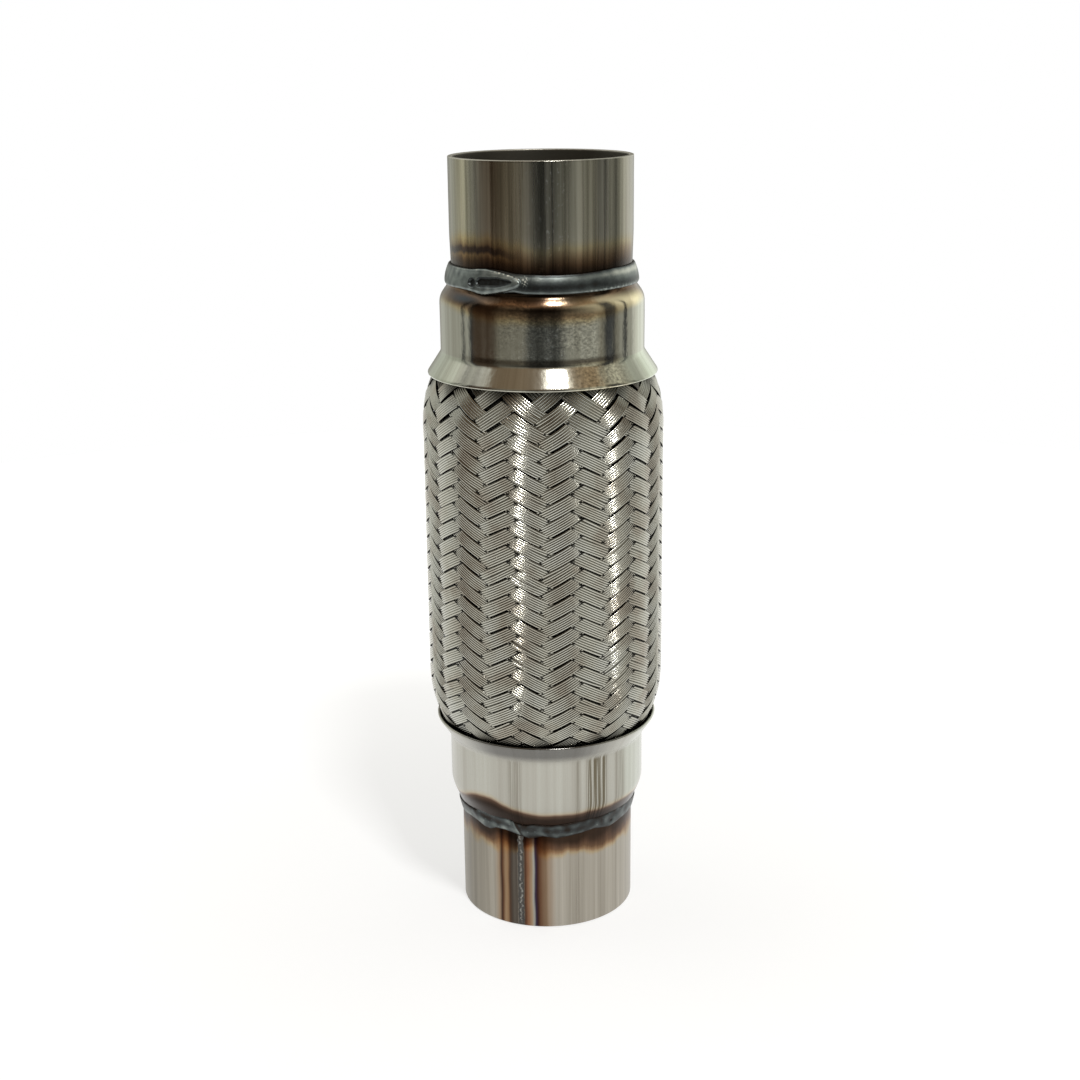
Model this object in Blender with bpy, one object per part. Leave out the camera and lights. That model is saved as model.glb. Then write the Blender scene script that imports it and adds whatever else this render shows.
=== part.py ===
"""Exhaust flex pipe: two pipe stubs, two flared collars, an outer wire braid, a bellows and a woven liner.

Metres, +Z up along the pipe axis, origin at the centre of the lower rim, front towards -Y.
Every section is drawn as (radius, reach) points, where reach is the distance from the nearer pipe end.
"""

from math import atan2, cos, hypot, pi, radians, sin

import bmesh
import bpy

# Overall size and the pipe that slides into the stubs
PIPE_LENGTH = 0.2100
BORE_RADIUS = 0.0230
STUB_WALL = 0.0012
RIM_CHAMFER = 0.00015

# Fits between pieces: round a common axis, and end to end
FIT_GAP = 0.0003
NECK_GAP = 0.0002

# Collar pressing, from its neck on the stub to its flared lip over the braid
COLLAR_WALL = 0.0008
SHOULDER_START = 0.0332
SHOULDER_LENGTH = 0.0062
SHOULDER_STEP = 0.0020
BARREL_LENGTH = 0.0106
FLARE_LENGTH = 0.0058
FLARE_STEP = 0.0036
LIP_LENGTH = 0.0009

# Neck length and weld bead at each end, as welded
UPPER_NECK_LENGTH = 0.0008
LOWER_NECK_LENGTH = 0.0020
UPPER_WELD_WIDTH = 0.0046
LOWER_WELD_WIDTH = 0.0042
UPPER_WELD_HEIGHT = 0.0011
LOWER_WELD_HEIGHT = 0.0009

# Where each bead's end laps over its start: its azimuth, its arc, and how much thicker the bead is there
LAP_AZIMUTH = radians(-36)
LAP_ARC = radians(64)
LAP_SWELL = 0.3

# Outer braid: ribbons each way round, their row pitch, and the barrel that they swell to
CARRIERS_EACH_WAY = 24
ROW_PITCH = 0.0045
BRAID_CUFF_WALL = 0.0007
BRAID_WALL = 0.0011
RIBBON_HEIGHT = 0.0005
GROOVE_SHARE = 0.09
TUCK_LENGTH = 0.0060
LIP_CLEARANCE = 0.0005
BARREL_BULGE = 0.0018
BULGE_LENGTH = 0.0160
BULGE_POWER = 2.6
GAP_REACH = 0.25
GAP_EVERY = 2

# Bellows, liner and inner rings
BELLOWS_WALL = 0.0004
BELLOWS_MARGIN = 0.0012
CONVOLUTION_PITCH = 0.0078
CREST_SHARE = 0.36
SIDE_SHARE = 0.12
LINER_WALL = 0.0005
RING_WALL = 0.0008
RING_LENGTH = 0.0100

# Facets round each kind of piece, and along each curve of the collar
SHELL_SEGMENTS = 36
INNER_SEGMENTS = 18
CURVE_STEPS = 2
SHARP_ANGLE = radians(35)

# Radii, from the bore outwards to the braid's cuff and back inwards to the rings
STUB_RADIUS = BORE_RADIUS + STUB_WALL
NECK_RADIUS = STUB_RADIUS + NECK_GAP + COLLAR_WALL
BARREL_RADIUS = NECK_RADIUS + SHOULDER_STEP
LIP_RADIUS = BARREL_RADIUS + FLARE_STEP
BRAID_CUFF_RADIUS = BARREL_RADIUS - COLLAR_WALL - FIT_GAP
BRAID_BORE_RADIUS = BRAID_CUFF_RADIUS - BRAID_CUFF_WALL
BRAID_LIP_RADIUS = LIP_RADIUS - COLLAR_WALL - LIP_CLEARANCE
BRAID_RADIUS = LIP_RADIUS + BARREL_BULGE
COLUMNS = 2 * CARRIERS_EACH_WAY
BRAID_FLAT = cos(pi / CARRIERS_EACH_WAY)
INNER_FLAT = cos(pi / INNER_SEGMENTS)
BELLOWS_RADIUS = BRAID_BORE_RADIUS * BRAID_FLAT - FIT_GAP
LINER_RADIUS = BELLOWS_RADIUS - BELLOWS_WALL - FIT_GAP / INNER_FLAT
RING_RADIUS = LINER_RADIUS - LINER_WALL - FIT_GAP / INNER_FLAT

# Reaches from the nearer pipe end
SHOULDER_END = SHOULDER_START + SHOULDER_LENGTH
FLARE_START = SHOULDER_END + BARREL_LENGTH
LIP_START = FLARE_START + FLARE_LENGTH
LIP_END = LIP_START + LIP_LENGTH
CUFF_START = SHOULDER_END + FIT_GAP
STUB_END = CUFF_START - FIT_GAP
TUCK_START = LIP_END - TUCK_LENGTH

# Rows of the weave between the two lips, with one more row tucked under each of them
WEAVE_LENGTH = PIPE_LENGTH - 2 * LIP_END
WEAVE_ROWS = round(WEAVE_LENGTH / ROW_PITCH) + 1
ROW_HEIGHT = WEAVE_LENGTH / (WEAVE_ROWS - 0.5)
WEAVE_FLOOR = PIPE_LENGTH / 2 - (WEAVE_ROWS - 1) * ROW_HEIGHT / 2


def lower_height(reach):
    """Height of a point that lies this far from the lower end."""
    return reach


def upper_height(reach):
    """Height of a point that lies this far from the upper end."""
    return PIPE_LENGTH - reach


def nearer_reach(height):
    """Distance from a height to the nearer pipe end."""
    return min(height, PIPE_LENGTH - height)


def interpolate(line, at):
    """Value of a polyline of (position, value) points at a position inside it."""
    for (start, low), (end, high) in zip(line, line[1:]):
        if at <= end:
            return low + (high - low) * (at - start) / (end - start)
    return line[-1][1]


def offset_line(line, distance):
    """An open line of (radius, reach) points moved sideways by a distance, with mitred corners."""
    moved = []
    for index, (radius, reach) in enumerate(line):
        before = line[max(index - 1, 0)]
        after = line[min(index + 1, len(line) - 1)]
        normals = []
        for start, end in ((before, (radius, reach)), ((radius, reach), after)):
            length = hypot(end[0] - start[0], end[1] - start[1])
            if length > 0:
                normals.append(((end[1] - start[1]) / length, (start[0] - end[0]) / length))
        across = [sum(part) / len(normals) for part in zip(*normals)]
        scale = distance / (across[0] ** 2 + across[1] ** 2)
        moved.append((radius + across[0] * scale, reach + across[1] * scale))
    return moved


def shell_section(line, wall):
    """Closed section of a thin wall whose outside follows a line, and whose ends are square to the axis."""
    inside = offset_line(line, -wall)
    inside[0] = (line[0][0] - wall, line[0][1])
    inside[-1] = (line[-1][0] - wall, line[-1][1])
    return line + inside[::-1]


def make_material(name, colour, roughness):
    """Bare metal of one colour and roughness."""
    material = bpy.data.materials.new(name)
    material.use_nodes = True
    shader = material.node_tree.nodes["Principled BSDF"]
    shader.inputs["Base Color"].default_value = (*colour, 1.0)
    shader.inputs["Roughness"].default_value = roughness
    shader.inputs["Metallic"].default_value = 1.0
    material.diffuse_color = (*colour, 1.0)
    return material


def finish_object(name, bm, colour, roughness):
    """Turns a closed bmesh into a smooth-shaded object with a material of its own."""
    bmesh.ops.recalc_face_normals(bm, faces=bm.faces)
    mesh = bpy.data.meshes.new(name)
    bm.to_mesh(mesh)
    bm.free()
    mesh.shade_smooth()
    mesh.set_sharp_from_angle(angle=SHARP_ANGLE)
    mesh.materials.append(make_material(name, colour, roughness))
    piece = bpy.data.objects.new(name, mesh)
    bpy.context.scene.collection.objects.link(piece)
    return piece


def turned(name, section, height_of, segments, colour, roughness):
    """Spins a closed section of (radius, reach) points about the pipe axis."""
    bm = bmesh.new()
    corners = [bm.verts.new((radius, 0.0, height_of(reach))) for radius, reach in section]
    edges = [bm.edges.new((corners[i - 1], corners[i])) for i in range(len(corners))]
    bmesh.ops.spin(
        bm,
        geom=corners + edges,
        cent=(0.0, 0.0, 0.0),
        axis=(0.0, 0.0, 1.0),
        angle=2 * pi,
        steps=segments,
        use_merge=True,
    )
    return finish_object(name, bm, colour, roughness)


def stub_pipe(name, height_of, colour):
    """Plain tube with a lightly broken free rim, pushed in until it meets the inner ring."""
    section = [
        (BORE_RADIUS + RIM_CHAMFER, 0.0),
        (STUB_RADIUS - RIM_CHAMFER, 0.0),
        (STUB_RADIUS, RIM_CHAMFER),
        (STUB_RADIUS, STUB_END),
        (BORE_RADIUS, STUB_END),
        (BORE_RADIUS, RIM_CHAMFER),
    ]
    return turned(name, section, height_of, SHELL_SEGMENTS, colour, 0.35)


def end_collar(name, height_of, neck_length, colour):
    """Pressed cup: neck on the stub, domed shoulder, straight barrel, and a lip flared over the braid."""
    outside = [(NECK_RADIUS, SHOULDER_START - neck_length)]
    for step in range(CURVE_STEPS + 1):
        share = step / CURVE_STEPS
        radius = NECK_RADIUS + SHOULDER_STEP * sin(share * pi / 2)
        outside.append((radius, SHOULDER_START + share * SHOULDER_LENGTH))
    for step in range(CURVE_STEPS + 1):
        share = step / CURVE_STEPS
        radius = BARREL_RADIUS + FLARE_STEP * (1 - cos(share * pi)) / 2
        outside.append((radius, FLARE_START + share * FLARE_LENGTH))
    outside.append((LIP_RADIUS, LIP_END))
    section = shell_section(outside, COLLAR_WALL)
    return turned(name, section, height_of, SHELL_SEGMENTS, colour, 0.2)


def weld_bead(name, height_of, neck_length, width, height, colour):
    """Rounded bead laid on the stub against the edge of the collar neck, thicker where it laps over itself."""
    seat = STUB_RADIUS + NECK_GAP
    neck_side = SHOULDER_START - neck_length - NECK_GAP
    middle = neck_side - width / 2
    section = [(seat, neck_side), (seat, neck_side - width)]
    for degrees in (40, 90, 140):
        angle = radians(degrees)
        section.append((seat + height * sin(angle), middle - width / 2 * cos(angle)))
    bead = turned(name, section, height_of, SHELL_SEGMENTS, colour, 0.55)
    for vertex in bead.data.vertices:
        x, y, z = vertex.co
        from_lap = min(1.0, abs(atan2(x, -y) - LAP_AZIMUTH) / (LAP_ARC / 2))
        swell = 1 + LAP_SWELL * cos(from_lap * pi / 2) ** 2
        outwards = (seat + (hypot(x, y) - seat) * swell) / hypot(x, y)
        edge = height_of(neck_side)
        vertex.co = (x * outwards, y * outwards, edge + (z - edge) * swell)
    return bead


def braid_outside(height):
    """Radius of the ribbons' top faces: tucked into the flare, then swelling to a barrel past the lip."""
    reach = nearer_reach(height)
    if reach <= LIP_END:
        share = max(0.0, (reach - TUCK_START) / TUCK_LENGTH)
        return BRAID_CUFF_RADIUS + (BRAID_LIP_RADIUS - BRAID_CUFF_RADIUS) * share
    share = max(0.0, 1 - (reach - LIP_END) / BULGE_LENGTH)
    return BRAID_RADIUS - (BRAID_RADIUS - BRAID_LIP_RADIUS) * share**BULGE_POWER


def weave_height(half_row):
    """Height of a crossing line of the weave, counted in half rows."""
    return WEAVE_FLOOR + half_row * ROW_HEIGHT / 2


def gap_half_rows():
    """Half rows in which the weave has see-through gaps."""
    return range(3, 2 * WEAVE_ROWS - 3, 2 * GAP_EVERY)


def braid_inside_line():
    """Inside of the braid as (height, radius) points: plain cuffs, and a level between each two rows of gaps."""
    levels = [half_row - GAP_EVERY for half_row in gap_half_rows()]
    levels.append(levels[-1] + 2 * GAP_EVERY)
    line = [(lower_height(CUFF_START), BRAID_BORE_RADIUS), (lower_height(TUCK_START), BRAID_BORE_RADIUS)]
    for level in levels:
        height = weave_height(level)
        line.append((height, braid_outside(height) - BRAID_WALL))
    line.append((upper_height(TUCK_START), BRAID_BORE_RADIUS))
    line.append((upper_height(CUFF_START), BRAID_BORE_RADIUS))
    return line


class Weave:
    """Mesh of the outer braid: a wall whose outside is a herringbone of flat ribbons, with gaps through it.

    A place on the outside is (column, half row). Ribbons cross at the middle of each diamond of four places.
    """

    def __init__(self):
        self.bm = bmesh.new()
        self.vertices = {}
        self.inside_line = braid_inside_line()

    def vertex(self, key, column, height, radius):
        """The vertex known by a key, made on first use. Column 0 lies just right of the front."""
        if key not in self.vertices:
            azimuth = (column + 0.5) * 2 * pi / COLUMNS
            place = (radius * sin(azimuth), -radius * cos(azimuth), height)
            self.vertices[key] = self.bm.verts.new(place)
        return self.vertices[key]

    def groove(self, column, half_row, towards=None):
        """Vertex at the bottom of the grooves at a place, or at the corner of its gap towards a neighbour."""
        place = (column % COLUMNS, half_row)
        along, up = column, half_row
        if towards and has_gap(column, half_row):
            place += (towards[0] - column, towards[1] - half_row)
            along += GAP_REACH * (towards[0] - column)
            up += GAP_REACH * (towards[1] - half_row)
        height = weave_height(up)
        return self.vertex(("groove", *place), along, height, braid_outside(height) - RIBBON_HEIGHT)

    def ribbon_top(self, column, half_row):
        """Vertex on the top face of a ribbon."""
        height = weave_height(half_row)
        return self.vertex(("top", column, half_row), column, height, braid_outside(height))

    def visible_ribbon(self, outline, start, end):
        """One visible stretch of ribbon: a flat top, and sides down to the grooves along its outline.

        The start and the end are the middles of its two short sides.
        """
        slope = 1 if end[1] > start[1] else -1
        tops = []
        for (column, half_row), inward in ((start, 1), (end, -1)):
            for side in (1, -1):
                along = inward * GROOVE_SHARE
                across = side * (0.5 - GROOVE_SHARE)
                tops.append((column + along - across, half_row + slope * (along + across)))
        rim = []
        for index, place in enumerate(outline):
            nearest = min(tops, key=lambda top: hypot(top[0] - place[0], top[1] - place[1]))
            for neighbour in (outline[index - 1], outline[(index + 1) % len(outline)]):
                corner = (self.groove(*place, neighbour), self.ribbon_top(*nearest))
                if not rim or corner[0] != rim[-1][0]:
                    rim.append(corner)
        if rim[0][0] == rim[-1][0]:
            rim.pop()
        for index, (corner, top) in enumerate(rim):
            before, before_top = rim[index - 1]
            if before_top == top:
                self.bm.faces.new((before, corner, top))
            else:
                self.bm.faces.new((before, corner, top, before_top))
        self.bm.faces.new([self.ribbon_top(*tops[index]) for index in (0, 2, 3, 1)])

    def ring(self, name, height, radius, count, shift):
        """Plain ring of vertices. The shift is in columns, from the first column."""
        step = COLUMNS / count
        return [
            self.vertex((name, index), index * step + shift, height, radius) for index in range(count)
        ]

    def join_rings(self, lower, upper):
        """Quads between two rings of as many vertices."""
        for index, corner in enumerate(lower):
            self.bm.faces.new((lower[index - 1], corner, upper[index], upper[index - 1]))

    def zip_rings(self, first, second):
        """Triangles between two rings of (angle, vertex) pairs that lie one inside the other."""
        first = sorted(first, key=lambda pair: pair[0])
        second = sorted(second, key=lambda pair: pair[0])
        first.append((first[0][0] + 2 * pi, first[0][1]))
        second.append((second[0][0] + 2 * pi, second[0][1]))
        i = j = 0
        while i < len(first) - 1 or j < len(second) - 1:
            second_done = j == len(second) - 1
            if second_done or (i < len(first) - 1 and first[i + 1][0] < second[j + 1][0]):
                self.bm.faces.new((first[i][1], first[i + 1][1], second[j][1]))
                i += 1
            else:
                self.bm.faces.new((first[i][1], second[j + 1][1], second[j][1]))
                j += 1

    def gap_walls(self, column, half_row):
        """Sides of one see-through gap. Gives its corners on the inside as (column, height, vertex)."""
        corners = []
        for step in gap_directions(column):
            outer = self.groove(column, half_row, (column + step[0], half_row + step[1]))
            along = column + GAP_REACH * step[0]
            height = weave_height(half_row + GAP_REACH * step[1])
            radius = interpolate(self.inside_line, height)
            inner = self.vertex(("gap", column, half_row, *step), along, height, radius)
            corners.append((along, height, outer, inner))
        for index, corner in enumerate(corners):
            before = corners[index - 1]
            self.bm.faces.new((before[2], corner[2], corner[3], before[3]))
        return [(along, height, inner) for along, height, _, inner in corners]

    def inside_cell(self, low, high, index, column, half_row):
        """One cell of the inside, between two levels, with the gap that lies in it."""
        gap = self.gap_walls(column, half_row)
        middle = (column, weave_height(half_row))
        width = 2 * pi * BRAID_RADIUS / COLUMNS
        corners = []
        for level in (low, high):
            for side in (index, (index + 1) % CARRIERS_EACH_WAY):
                corners.append((level[side], (side != index) * 2 + index * 2 - 0.5, level[side].co.z))

        def angle(along, height):
            return atan2(height - middle[1], (along - middle[0]) * width)

        outer = [(angle(along, height), vertex) for vertex, along, height in corners]
        inner = [(angle(along, height), vertex) for along, height, vertex in gap]
        self.zip_rings(outer, inner)

    def outside(self):
        """Every visible stretch of ribbon, and plain bands from the weave's edges to the cuff ends."""
        for column in range(0, COLUMNS, 4):
            for row in range(WEAVE_ROWS):
                self.rising_ribbon(column, 2 * row)
                self.falling_ribbon(column + 2, 2 * row)
        for edge, height_of, name in ((0, lower_height, "lower"), (2 * WEAVE_ROWS, upper_height, "upper")):
            zigzag = [
                self.groove(column, edge + (-1, 0, -1, -2)[column % 4]) for column in range(COLUMNS)
            ]
            tuck = self.ring(name + " tuck", height_of(TUCK_START), BRAID_CUFF_RADIUS, COLUMNS, 0)
            rim = self.ring(name + " rim", height_of(CUFF_START), BRAID_CUFF_RADIUS, COLUMNS, 0)
            self.join_rings(zigzag, tuck)
            self.join_rings(tuck, rim)

    def rising_ribbon(self, column, half_row):
        """Ribbon that runs up to the right over two crossings, in this column and the next."""
        outline = [
            (column - 1, half_row),
            (column, half_row + 1),
            (column + 1, half_row + 2),
            (column + 2, half_row + 1),
            (column + 1, half_row),
            (column, half_row - 1),
        ]
        self.visible_ribbon(outline, (column - 0.5, half_row - 0.5), (column + 1.5, half_row + 1.5))

    def falling_ribbon(self, column, half_row):
        """Ribbon that runs down to the right over two crossings, in this column and the next."""
        outline = [
            (column - 1, half_row),
            (column, half_row + 1),
            (column + 1, half_row),
            (column + 2, half_row - 1),
            (column + 1, half_row - 2),
            (column, half_row - 1),
        ]
        self.visible_ribbon(outline, (column - 0.5, half_row + 0.5), (column + 1.5, half_row - 1.5))

    def inside(self):
        """Inside of the wall, level by level, with a gap in every other cell of the levels that have gaps."""
        rings = []
        for index, (height, radius) in enumerate(self.inside_line):
            rings.append(self.ring(f"inside {index}", height, radius, CARRIERS_EACH_WAY, -0.5))
        gaps = list(gap_half_rows())
        for index, (low, high) in enumerate(zip(rings, rings[1:])):
            row = index - 2
            for side in range(CARRIERS_EACH_WAY):
                after = (side + 1) % CARRIERS_EACH_WAY
                if 0 <= row < len(gaps) and side % 2 == 0:
                    self.inside_cell(low, high, side, 2 * side, gaps[row])
                else:
                    self.bm.faces.new((low[side], low[after], high[after], high[side]))
        return rings[0], rings[-1]

    def rims(self, inner_rings):
        """Flat cut ends of the two cuffs."""
        for name, inner in zip(("lower", "upper"), inner_rings):
            outer = [self.vertices[(name + " rim", column)] for column in range(COLUMNS)]
            rings = [[(atan2(v.co.y, v.co.x), v) for v in ring] for ring in (outer, inner)]
            self.zip_rings(*rings)


def gap_directions(column):
    """The three grooves that meet at a place in this column, in order round it."""
    around = [(-1, -1), (1, -1), (1, 1), (-1, 1)]
    ribbon_side = ((1, -1), (-1, 1), (1, 1), (-1, -1))[column % 4]
    return [step for step in around if step != ribbon_side]


def has_gap(column, half_row):
    """Whether the weave is open at a place."""
    return column % 4 == 0 and half_row in gap_half_rows()


def outer_braid(colour):
    """Wire braid of flat ribbons, two over and two under, tucked into both collars."""
    weave = Weave()
    weave.outside()
    weave.rims(weave.inside())
    return finish_object("outer_braid", weave.bm, colour, 0.3)


def bellows(colour):
    """Thin corrugated tube: a plain cuff at each end, and convolutions that just fit inside the braid."""
    inside_line = braid_inside_line()
    start = LIP_END + BELLOWS_MARGIN
    length = PIPE_LENGTH - 2 * start
    count = max(1, round(length / CONVOLUTION_PITCH))
    pitch = length / count
    outside = [(BELLOWS_RADIUS, lower_height(CUFF_START))]
    for index in range(count):
        middle = start + (index + 0.5) * pitch
        half_crest = CREST_SHARE * pitch / 2
        foot = half_crest + SIDE_SHARE * pitch
        outside.append((BELLOWS_RADIUS, middle - foot))
        for height in (middle - half_crest, middle + half_crest):
            outside.append((interpolate(inside_line, height) * BRAID_FLAT - FIT_GAP, height))
        outside.append((BELLOWS_RADIUS, middle + foot))
    outside.append((BELLOWS_RADIUS, upper_height(CUFF_START)))
    section = shell_section(outside, BELLOWS_WALL)
    return turned("bellows", section, lower_height, INNER_SEGMENTS, colour, 0.3)


def inner_braid(colour):
    """Woven liner that shields the bellows from the gas, held at both ends by the inner rings."""
    outside = [(LINER_RADIUS, lower_height(CUFF_START)), (LINER_RADIUS, upper_height(CUFF_START))]
    section = shell_section(outside, LINER_WALL)
    return turned("inner_braid", section, lower_height, INNER_SEGMENTS, colour, 0.45)


def inner_ring(name, height_of, colour):
    """Short ring that holds the liner, the bellows cuff and the braid against the collar."""
    section = shell_section([(RING_RADIUS, CUFF_START), (RING_RADIUS, CUFF_START + RING_LENGTH)], RING_WALL)
    return turned(name, section, height_of, INNER_SEGMENTS, colour, 0.4)


def main():
    """Removes what is in the scene and builds the pipe."""
    for item in list(bpy.data.objects):
        bpy.data.objects.remove(item)
    stub_pipe("lower_stub_pipe", lower_height, (0.52, 0.49, 0.43))
    stub_pipe("upper_stub_pipe", upper_height, (0.42, 0.41, 0.36))
    end_collar("lower_end_collar", lower_height, LOWER_NECK_LENGTH, (0.62, 0.62, 0.56))
    end_collar("upper_end_collar", upper_height, UPPER_NECK_LENGTH, (0.50, 0.48, 0.42))
    weld_bead(
        "lower_weld_bead", lower_height, LOWER_NECK_LENGTH, LOWER_WELD_WIDTH, LOWER_WELD_HEIGHT, (0.26, 0.29, 0.30)
    )
    weld_bead(
        "upper_weld_bead", upper_height, UPPER_NECK_LENGTH, UPPER_WELD_WIDTH, UPPER_WELD_HEIGHT, (0.31, 0.36, 0.34)
    )
    outer_braid((0.57, 0.56, 0.50))
    bellows((0.55, 0.55, 0.52))
    inner_braid((0.40, 0.39, 0.36))
    inner_ring("lower_inner_ring", lower_height, (0.48, 0.47, 0.44))
    inner_ring("upper_inner_ring", upper_height, (0.48, 0.47, 0.44))


main()
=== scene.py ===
"""Looks of the exhaust flex pipe: steel shells, weld beads, a braid of 48 wire ribbons, studio and camera.

Metres, +Z up along the pipe, front towards -Y. An azimuth is counted in degrees from the front towards +X.
A reach is the distance from the nearer pipe end.
"""

from math import cos, pi, radians, sin

import bpy
import numpy as np
from mathutils import Matrix, Vector


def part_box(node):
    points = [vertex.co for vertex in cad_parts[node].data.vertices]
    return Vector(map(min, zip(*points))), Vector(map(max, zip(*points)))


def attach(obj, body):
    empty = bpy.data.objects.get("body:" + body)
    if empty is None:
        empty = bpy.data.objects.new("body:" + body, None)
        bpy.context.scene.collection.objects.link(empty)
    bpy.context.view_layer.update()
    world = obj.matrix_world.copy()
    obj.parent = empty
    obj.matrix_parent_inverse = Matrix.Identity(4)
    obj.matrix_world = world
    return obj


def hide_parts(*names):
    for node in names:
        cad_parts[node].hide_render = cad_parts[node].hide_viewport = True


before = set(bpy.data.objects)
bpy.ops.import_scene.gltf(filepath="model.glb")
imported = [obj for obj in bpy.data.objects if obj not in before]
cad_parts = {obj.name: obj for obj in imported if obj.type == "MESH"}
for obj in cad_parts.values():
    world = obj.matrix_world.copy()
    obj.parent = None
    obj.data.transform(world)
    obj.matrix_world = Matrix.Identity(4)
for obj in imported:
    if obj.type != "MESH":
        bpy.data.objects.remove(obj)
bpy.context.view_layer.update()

# Sizes that come from the frame
PIPE_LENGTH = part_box("upper_stub_pipe")[1].z
STUB_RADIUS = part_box("upper_stub_pipe")[1].x
LIP_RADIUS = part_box("upper_end_collar")[1].x
BRAID_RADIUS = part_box("outer_braid")[1].x - 0.00003
LINER_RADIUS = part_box("inner_braid")[1].x
RING_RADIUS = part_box("upper_inner_ring")[1].x
STUB_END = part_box("lower_stub_pipe")[1].z
CUFF_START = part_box("outer_braid")[0].z
LIP_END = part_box("lower_end_collar")[1].z
RING_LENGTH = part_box("lower_inner_ring")[1].z - CUFF_START
UPPER_NECK_END = PIPE_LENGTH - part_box("upper_end_collar")[1].z
LOWER_NECK_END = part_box("lower_end_collar")[0].z

# Walls and collar steps
STUB_WALL = 0.0012
COLLAR_WALL = 0.0008
RING_WALL = 0.0008
LINER_WALL = 0.0005
NECK_RADIUS = STUB_RADIUS + 0.0010
BARREL_RADIUS = NECK_RADIUS + 0.0020
UPPER_SHOULDER = (0.0332, 0.0062, 0.12, 0.80)
LOWER_SHOULDER = (0.0316, 0.0072, 0.35, 1.00)
FLARE_START = 0.0500
LIP_SETBACK = 0.00064
LIP_INSET = 0.00008
UPPER_STUB_PINCH = 0.00025
PINCH_START = 0.0185
PINCH_END = 0.0280
RIM_ROUND = 0.00020
STUB_UNEVENNESS = 0.00003
STUB_SEED = 13
COLLAR_UNEVENNESS = 0.00006
COLLAR_SEED = 11

# Braid: lattice of the weave, ribbon section, and how far each ribbon rises over the others
CARRIERS = 24
COLUMNS = 2 * CARRIERS
HALF_ROW = 0.0022465
WEAVE_START = 0.05967
STRETCH_START = 0.1360
STRETCH = 640.0
TOP_DRIFT = radians(2.2)
TOP_SPREAD = 0.15
WIRES = 6
RIBBON_WIDTH = 0.00358
WIRE_BUMP = 0.00017
WIRE_STEPS = 5
RIBBON_BACK = 0.00015
CRIMP = 0.00034
SPLITS = 5
SPLIT_OPENING = 0.05
STEPS_PER_COLUMN = 4
LIT_END_GAIN = 0.00022
TUCK_RADIUS = 0.0261
TUCK_START = 0.0507
BRAID_LIP_RADIUS = 0.0295
BULGE_LENGTH = 0.0160
BULGE_POWER = 2.6
HIDDEN_END = 0.0530
BRAID_CUFF_WALL = 0.0007
BACK_EDGE = 0.47
SWAY = 0.00007
WIDTH_WAVE = 0.035
SPLIT_DROP = 0.00012

# Bellows behind the braid
BELLOWS_WALL = 0.0004
BELLOWS_CUFF = TUCK_RADIUS - 0.00125
BELLOWS_MARGIN = 0.0012
CONVOLUTIONS = 12
CREST_DEPTH = 0.0020

# Weld beads: their seat on the stub, their root in it, the tone of their sides, their edges as
# (azimuth, height), and the azimuth at which the upper one's later run ends in a point
BEAD_SEAT = 0.00005
BEAD_ROOT = 0.0002
SIDE_TONE = 0.3
UPPER_BEAD_LOW = [
    (-90, 0.1775), (-54, 0.1777), (-45, 0.1775), (-40, 0.1771), (-35, 0.1767), (-29, 0.1769),
    (-24, 0.1774), (-16, 0.1777), (-10, 0.1773), (10, 0.1771), (50, 0.1774), (90, 0.1772), (180, 0.1776),
]
UPPER_BEAD_HIGH = [
    (-90, 0.1826), (-47, 0.1827), (-40, 0.1830), (-33, 0.1832), (-24, 0.1829), (-16, 0.1823),
    (-8, 0.1821), (10, 0.1819), (30, 0.1821), (50, 0.1825), (90, 0.1824), (180, 0.1820),
]
LOWER_BEAD_LOW = [
    (-90, 0.0262), (-72, 0.0276), (-60, 0.0286), (-52, 0.0285), (-45, 0.0277), (-40, 0.0277),
    (-35, 0.0286), (-28, 0.0287), (-22, 0.0282), (-12, 0.0271), (-3, 0.0279), (6, 0.0272), (18, 0.0278),
    (32, 0.0284), (45, 0.0274), (58, 0.0279), (74, 0.0276), (90, 0.0262), (130, 0.0270), (180, 0.0264),
    (230, 0.0270),
]
LOWER_BEAD_HIGH = [
    (-90, 0.0300), (-65, 0.0316), (-51, 0.0322), (-46, 0.0340), (-42, 0.0344), (-35, 0.0332),
    (-24, 0.0328), (-20, 0.0317), (-14, 0.0313), (-8, 0.0319), (3, 0.0314), (22, 0.0322), (35, 0.0320),
    (50, 0.0326), (68, 0.0320), (90, 0.0300), (130, 0.0312), (180, 0.0305), (230, 0.0314),
]
LEAF_TIP = -12.6

# Seam of the lower stub: azimuth of its middle, half its width in degrees, and the tints beside it
SEAM_MIDDLE = -17.9
SEAM_HALF = 1.9
NO_TINT = (1.0, 1.0, 1.0)
SEAM_TINTS = [
    (-38.0, NO_TINT), (-34.0, (0.72, 0.57, 0.45)), (-32.0, (0.12, 0.06, 0.05)),
    (-30.8, (0.36, 0.20, 0.13)), (-29.0, (0.90, 0.66, 0.46)), (-27.5, (0.74, 0.50, 0.33)),
    (-26.2, (0.28, 0.18, 0.14)), (-24.6, (0.18, 0.155, 0.145)), (-22.6, (0.28, 0.26, 0.25)),
    (-20.8, (0.20, 0.18, 0.175)), (-19.6, (0.50, 0.49, 0.48)), (-16.4, (0.48, 0.45, 0.42)),
    (-15.2, (0.20, 0.10, 0.07)), (-13.0, (0.58, 0.32, 0.21)), (-10.6, (0.80, 0.64, 0.49)),
    (-9.3, (0.80, 0.85, 0.88)), (-8.1, (0.09, 0.07, 0.16)), (-6.7, (0.12, 0.06, 0.06)),
    (-5.0, (0.32, 0.175, 0.115)), (-1.0, (0.58, 0.43, 0.32)), (6.0, NO_TINT),
]

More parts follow.
